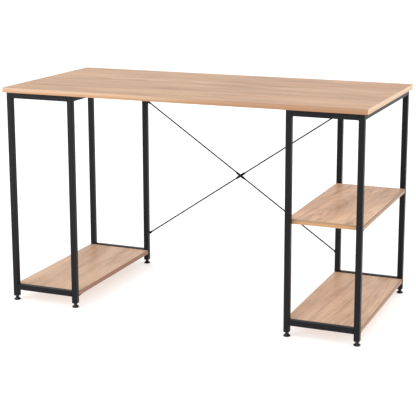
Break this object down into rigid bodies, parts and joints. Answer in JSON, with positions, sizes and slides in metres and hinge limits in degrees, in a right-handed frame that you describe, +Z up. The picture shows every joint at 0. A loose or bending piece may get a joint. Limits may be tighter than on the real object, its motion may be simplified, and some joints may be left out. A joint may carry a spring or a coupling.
{
  "type": "computer desk with two open shelf pedestals",
  "caption": "Writing desk: light wood-effect top on two open pedestals of black square steel tube with wooden shelves, crossed steel rods behind and adjustable levelling feet.",
  "frame": {"origin": "on the floor under the middle of the desk's bounding box", "axes": "+Z up; +X along the front edge towards the pedestal with two shelves; +Y from the user's side to the rear, where the crossed rods are"},
  "size_m": [1.27, 0.6042, 0.75],
  "materials": {
    "wood_panel": "light oak-effect laminate on particle board, satin",
    "black_frame": "fine satin black powder coat on steel",
    "black_plastic": "moulded black plastic, semi-gloss",
    "black_screw": "black zinc-plated steel, satin"
  },
  "bodies": {
    "root": {"desktop": "wood_panel", "left_bottom_shelf": "wood_panel", "right_bottom_shelf": "wood_panel", "right_middle_shelf": "wood_panel", "left_front_outer_leg": "black_frame", "left_rear_outer_leg": "black_frame", "left_front_inner_leg": "black_frame", "left_rear_inner_leg": "black_frame", "left_front_top_rail": "black_frame", "left_front_bottom_rail": "black_frame", "left_rear_top_rail": "black_frame", "left_rear_bottom_rail": "black_frame", "left_outer_side_rail": "black_frame", "left_inner_side_rail": "black_frame", "right_front_outer_leg": "black_frame", "right_rear_outer_leg": "black_frame", "right_front_inner_leg": "black_frame", "right_rear_inner_leg": "black_frame", "right_front_top_rail": "black_frame", "right_front_bottom_rail": "black_frame", "right_rear_top_rail": "black_frame", "right_rear_bottom_rail": "black_frame", "right_outer_side_rail": "black_frame", "right_inner_side_rail": "black_frame", "left_bottom_shelf_front_outer_tab": "black_frame", "left_bottom_shelf_rear_outer_tab": "black_frame", "left_bottom_shelf_front_inner_tab": "black_frame", "left_bottom_shelf_rear_inner_tab": "black_frame", "right_bottom_shelf_front_outer_tab": "black_frame", "right_bottom_shelf_rear_outer_tab": "black_frame", "right_bottom_shelf_front_inner_tab": "black_frame", "right_bottom_shelf_rear_inner_tab": "black_frame", "right_middle_shelf_front_outer_tab": "black_frame", "right_middle_shelf_rear_outer_tab": "black_frame", "right_middle_shelf_front_inner_tab": "black_frame", "right_middle_shelf_rear_inner_tab": "black_frame", "left_front_outer_insert": "black_plastic", "left_rear_outer_insert": "black_plastic", "left_front_inner_insert": "black_plastic", "left_rear_inner_insert": "black_plastic", "right_front_outer_insert": "black_plastic", "right_rear_outer_insert": "black_plastic", "right_front_inner_insert": "black_plastic", "right_rear_inner_insert": "black_plastic", "brace_rod_falling": "black_frame", "brace_rod_rising": "black_frame", "brace_screw_left_top": "black_screw", "brace_screw_left_bottom": "black_screw", "brace_screw_right_top": "black_screw", "brace_screw_right_bottom": "black_screw", "brace_centre_bolt": "black_screw", "brace_centre_nut": "black_screw"},
    "left_front_outer_foot": {"left_front_outer_foot": "black_plastic"},
    "left_rear_outer_foot": {"left_rear_outer_foot": "black_plastic"},
    "left_front_inner_foot": {"left_front_inner_foot": "black_plastic"},
    "left_rear_inner_foot": {"left_rear_inner_foot": "black_plastic"},
    "right_front_outer_foot": {"right_front_outer_foot": "black_plastic"},
    "right_rear_outer_foot": {"right_rear_outer_foot": "black_plastic"},
    "right_front_inner_foot": {"right_front_inner_foot": "black_plastic"},
    "right_rear_inner_foot": {"right_rear_inner_foot": "black_plastic"}
  },
  "joints": [
    {"name": "left_front_outer_levelling", "type": "slide", "parent": "root", "child": "left_front_outer_foot", "axis": [0, 0, -1], "range_m": [0, 0.012]},
    {"name": "left_rear_outer_levelling", "type": "slide", "parent": "root", "child": "left_rear_outer_foot", "axis": [0, 0, -1], "range_m": [0, 0.012]},
    {"name": "left_front_inner_levelling", "type": "slide", "parent": "root", "child": "left_front_inner_foot", "axis": [0, 0, -1], "range_m": [0, 0.012]},
    {"name": "left_rear_inner_levelling", "type": "slide", "parent": "root", "child": "left_rear_inner_foot", "axis": [0, 0, -1], "range_m": [0, 0.012]},
    {"name": "right_front_outer_levelling", "type": "slide", "parent": "root", "child": "right_front_outer_foot", "axis": [0, 0, -1], "range_m": [0, 0.012]},
    {"name": "right_rear_outer_levelling", "type": "slide", "parent": "root", "child": "right_rear_outer_foot", "axis": [0, 0, -1], "range_m": [0, 0.012]},
    {"name": "right_front_inner_levelling", "type": "slide", "parent": "root", "child": "right_front_inner_foot", "axis": [0, 0, -1], "range_m": [0, 0.012]},
    {"name": "right_rear_inner_levelling", "type": "slide", "parent": "root", "child": "right_rear_inner_foot", "axis": [0, 0, -1], "range_m": [0, 0.012]}
  ]
}
